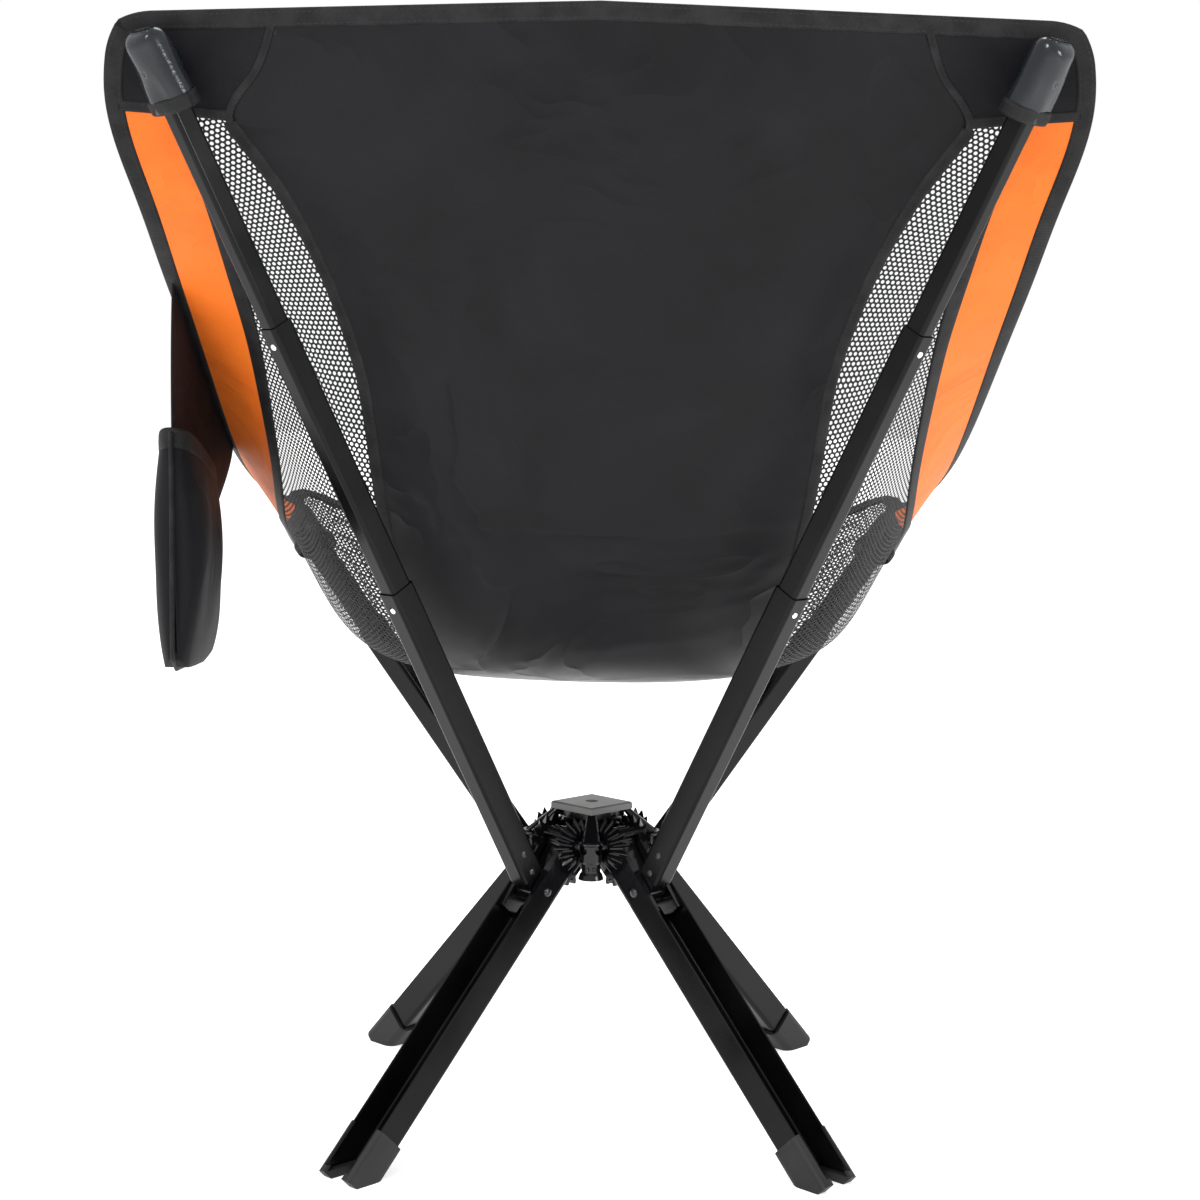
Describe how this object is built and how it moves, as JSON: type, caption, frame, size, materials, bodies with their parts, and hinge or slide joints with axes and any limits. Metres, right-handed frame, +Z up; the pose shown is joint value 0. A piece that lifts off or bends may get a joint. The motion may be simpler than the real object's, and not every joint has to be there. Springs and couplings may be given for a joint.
{
  "type": "folding camp chair",
  "caption": "Folding camp chair with geared hub, channel legs, telescopic arms and a hung fabric seat with side pouch.",
  "frame": {"origin": "on the floor under the middle of the chair; the hub's axis is the Z axis", "axes": "+Z up, +Y the way the sitter faces, +X the sitter's right"},
  "size_m": [0.6888, 0.6391, 0.871],
  "materials": {
    "hub_plastic": "moulded black nylon, slightly polished",
    "cap_plastic": "dark grey moulded plate, satin",
    "steel": "zinc-plated steel",
    "button_chrome": "bright snap button",
    "black_tube": "black powder-coated aluminium, satin",
    "foot_rubber": "dark grey moulded rubber",
    "black_rivet": "blackened rivet",
    "pocket_vinyl": "glossy black vinyl",
    "seat_fabric": "coated black polyester with orange wings and black mesh",
    "pouch_fabric": "black polyester"
  },
  "bodies": {
    "hub": {"hub_core": "hub_plastic", "hub_cap": "cap_plastic", "hub_screw": "steel", "leg_axles": "steel", "fixed_gears": "hub_plastic", "seat_sling": "seat_fabric", "side_pouch": "pouch_fabric"},
    "front_left_leg": {"front_left_leg_channel": "black_tube", "front_left_leg_knuckle": "hub_plastic", "front_left_foot": "foot_rubber", "front_left_pivot_pin": "black_rivet"},
    "front_left_arm": {"front_left_arm_knuckle": "hub_plastic", "front_left_arm_rivets": "black_rivet", "front_left_lower_tube": "black_tube"},
    "front_left_top": {"front_left_upper_tube": "black_tube", "front_left_tip_plug": "hub_plastic", "front_left_pole_pocket": "pocket_vinyl", "front_left_tip_screw": "black_rivet"},
    "front_left_button_body": {"front_left_button": "button_chrome"},
    "front_right_leg": {"front_right_leg_channel": "black_tube", "front_right_leg_knuckle": "hub_plastic", "front_right_foot": "foot_rubber", "front_right_pivot_pin": "black_rivet"},
    "front_right_arm": {"front_right_arm_knuckle": "hub_plastic", "front_right_arm_rivets": "black_rivet", "front_right_lower_tube": "black_tube"},
    "front_right_top": {"front_right_upper_tube": "black_tube", "front_right_tip_plug": "hub_plastic", "front_right_pole_pocket": "pocket_vinyl", "front_right_tip_screw": "black_rivet"},
    "front_right_button_body": {"front_right_button": "button_chrome"},
    "rear_left_leg": {"rear_left_leg_channel": "black_tube", "rear_left_leg_knuckle": "hub_plastic", "rear_left_foot": "foot_rubber", "rear_left_pivot_pin": "black_rivet"},
    "rear_left_arm": {"rear_left_arm_knuckle": "hub_plastic", "rear_left_arm_rivets": "black_rivet", "rear_left_lower_tube": "black_tube"},
    "rear_left_top": {"rear_left_upper_tube": "black_tube", "rear_left_tip_plug": "hub_plastic", "rear_left_pole_pocket": "pocket_vinyl", "rear_left_tip_screw": "black_rivet"},
    "rear_left_middle": {"rear_left_middle_tube": "black_tube"},
    "rear_left_button_low_body": {"rear_left_button_low": "button_chrome"},
    "rear_left_button_high_body": {"rear_left_button_high": "button_chrome"},
    "rear_right_leg": {"rear_right_leg_channel": "black_tube", "rear_right_leg_knuckle": "hub_plastic", "rear_right_foot": "foot_rubber", "rear_right_pivot_pin": "black_rivet"},
    "rear_right_arm": {"rear_right_arm_knuckle": "hub_plastic", "rear_right_arm_rivets": "black_rivet", "rear_right_lower_tube": "black_tube"},
    "rear_right_top": {"rear_right_upper_tube": "black_tube", "rear_right_tip_plug": "hub_plastic", "rear_right_pole_pocket": "pocket_vinyl", "rear_right_tip_screw": "black_rivet"},
    "rear_right_middle": {"rear_right_middle_tube": "black_tube"},
    "rear_right_button_low_body": {"rear_right_button_low": "button_chrome"},
    "rear_right_button_high_body": {"rear_right_button_high": "button_chrome"}
  },
  "joints": [
    {"name": "front_left_fold", "type": "hinge", "parent": "hub", "child": "front_left_leg", "pos_m": [-0.02404, 0.02404, 0.232], "axis": [-0.7071, -0.7071, 0], "range_deg": [0, 44.65], "deforming": ["seat_sling", "side_pouch"]},
    {"name": "front_left_arm_fold", "type": "hinge", "parent": "front_left_leg", "child": "front_left_arm", "pos_m": [-0.0476, 0.0476, 0.19828], "axis": [-0.7071, -0.7071, 0], "range_deg": [0, 85.24], "deforming": ["seat_sling", "side_pouch"]},
    {"name": "front_left_top_slide", "type": "slide", "parent": "front_left_arm", "child": "front_left_top", "axis": [0.5425, -0.5425, -0.6413], "range_m": [0, 0.1], "deforming": ["front_left_button"]},
    {"name": "front_left_button_press", "type": "slide", "parent": "front_left_top", "child": "front_left_button_body", "axis": [0.4535, -0.4535, 0.7673], "range_m": [0, 0.0032], "stiffness_N_per_m": 600, "springref_m": -0.001},
    {"name": "front_right_fold", "type": "hinge", "parent": "hub", "child": "front_right_leg", "pos_m": [0.02404, 0.02404, 0.232], "axis": [-0.7071, 0.7071, 0], "range_deg": [0, 44.65], "deforming": ["seat_sling", "side_pouch"]},
    {"name": "front_right_arm_fold", "type": "hinge", "parent": "front_right_leg", "child": "front_right_arm", "pos_m": [0.0476, 0.0476, 0.19828], "axis": [-0.7071, 0.7071, 0], "range_deg": [0, 85.24], "deforming": ["seat_sling", "side_pouch"]},
    {"name": "front_right_top_slide", "type": "slide", "parent": "front_right_arm", "child": "front_right_top", "axis": [-0.5425, -0.5425, -0.6413], "range_m": [0, 0.1], "deforming": ["front_right_button"]},
    {"name": "front_right_button_press", "type": "slide", "parent": "front_right_top", "child": "front_right_button_body", "axis": [-0.4535, -0.4535, 0.7673], "range_m": [0, 0.0032], "stiffness_N_per_m": 600, "springref_m": -0.001},
    {"name": "rear_left_fold", "type": "hinge", "parent": "hub", "child": "rear_left_leg", "pos_m": [-0.02404, -0.02404, 0.232], "axis": [0.7071, -0.7071, 0], "range_deg": [0, 44.65], "deforming": ["seat_sling", "side_pouch"]},
    {"name": "rear_left_arm_fold", "type": "hinge", "parent": "rear_left_leg", "child": "rear_left_arm", "pos_m": [-0.0476, -0.0476, 0.19828], "axis": [0.7071, -0.7071, 0], "range_deg": [0, 105.54], "deforming": ["seat_sling", "side_pouch"]},
    {"name": "rear_left_middle_slide", "type": "slide", "parent": "rear_left_arm", "child": "rear_left_middle", "axis": [0.3516, 0.3516, -0.8676], "range_m": [0, 0.2], "deforming": ["rear_left_button_low"]},
    {"name": "rear_left_top_slide", "type": "slide", "parent": "rear_left_middle", "child": "rear_left_top", "axis": [0.3516, 0.3516, -0.8676], "range_m": [0, 0.16], "deforming": ["rear_left_button_high"]},
    {"name": "rear_left_button_low_press", "type": "slide", "parent": "rear_left_middle", "child": "rear_left_button_low_body", "axis": [0.6135, 0.6135, 0.4972], "range_m": [0, 0.0032], "stiffness_N_per_m": 600, "springref_m": -0.001},
    {"name": "rear_left_button_high_press", "type": "slide", "parent": "rear_left_top", "child": "rear_left_button_high_body", "axis": [0.6135, 0.6135, 0.4972], "range_m": [0, 0.0032], "stiffness_N_per_m": 600, "springref_m": -0.001},
    {"name": "rear_right_fold", "type": "hinge", "parent": "hub", "child": "rear_right_leg", "pos_m": [0.02404, -0.02404, 0.232], "axis": [0.7071, 0.7071, 0], "range_deg": [0, 44.65], "deforming": ["seat_sling", "side_pouch"]},
    {"name": "rear_right_arm_fold", "type": "hinge", "parent": "rear_right_leg", "child": "rear_right_arm", "pos_m": [0.0476, -0.0476, 0.19828], "axis": [0.7071, 0.7071, 0], "range_deg": [0, 105.54], "deforming": ["seat_sling", "side_pouch"]},
    {"name": "rear_right_middle_slide", "type": "slide", "parent": "rear_right_arm", "child": "rear_right_middle", "axis": [-0.3516, 0.3516, -0.8676], "range_m": [0, 0.2], "deforming": ["rear_right_button_low"]},
    {"name": "rear_right_top_slide", "type": "slide", "parent": "rear_right_middle", "child": "rear_right_top", "axis": [-0.3516, 0.3516, -0.8676], "range_m": [0, 0.16], "deforming": ["rear_right_button_high"]},
    {"name": "rear_right_button_low_press", "type": "slide", "parent": "rear_right_middle", "child": "rear_right_button_low_body", "axis": [-0.6135, 0.6135, 0.4972], "range_m": [0, 0.0032], "stiffness_N_per_m": 600, "springref_m": -0.001},
    {"name": "rear_right_button_high_press", "type": "slide", "parent": "rear_right_top", "child": "rear_right_button_high_body", "axis": [-0.6135, 0.6135, 0.4972], "range_m": [0, 0.0032], "stiffness_N_per_m": 600, "springref_m": -0.001}
  ],
  "couplings": [
    {"joint": "front_left_fold", "follows": "rear_left_fold", "ratio": 1},
    {"joint": "front_left_arm_fold", "follows": "rear_left_fold", "ratio": 1.9091},
    {"joint": "front_right_fold", "follows": "rear_left_fold", "ratio": 1},
    {"joint": "front_right_arm_fold", "follows": "rear_left_fold", "ratio": 1.9091},
    {"joint": "rear_left_arm_fold", "follows": "rear_left_fold", "ratio": 2.3636},
    {"joint": "rear_right_fold", "follows": "rear_left_fold", "ratio": 1},
    {"joint": "rear_right_arm_fold", "follows": "rear_left_fold", "ratio": 2.3636}
  ]
}
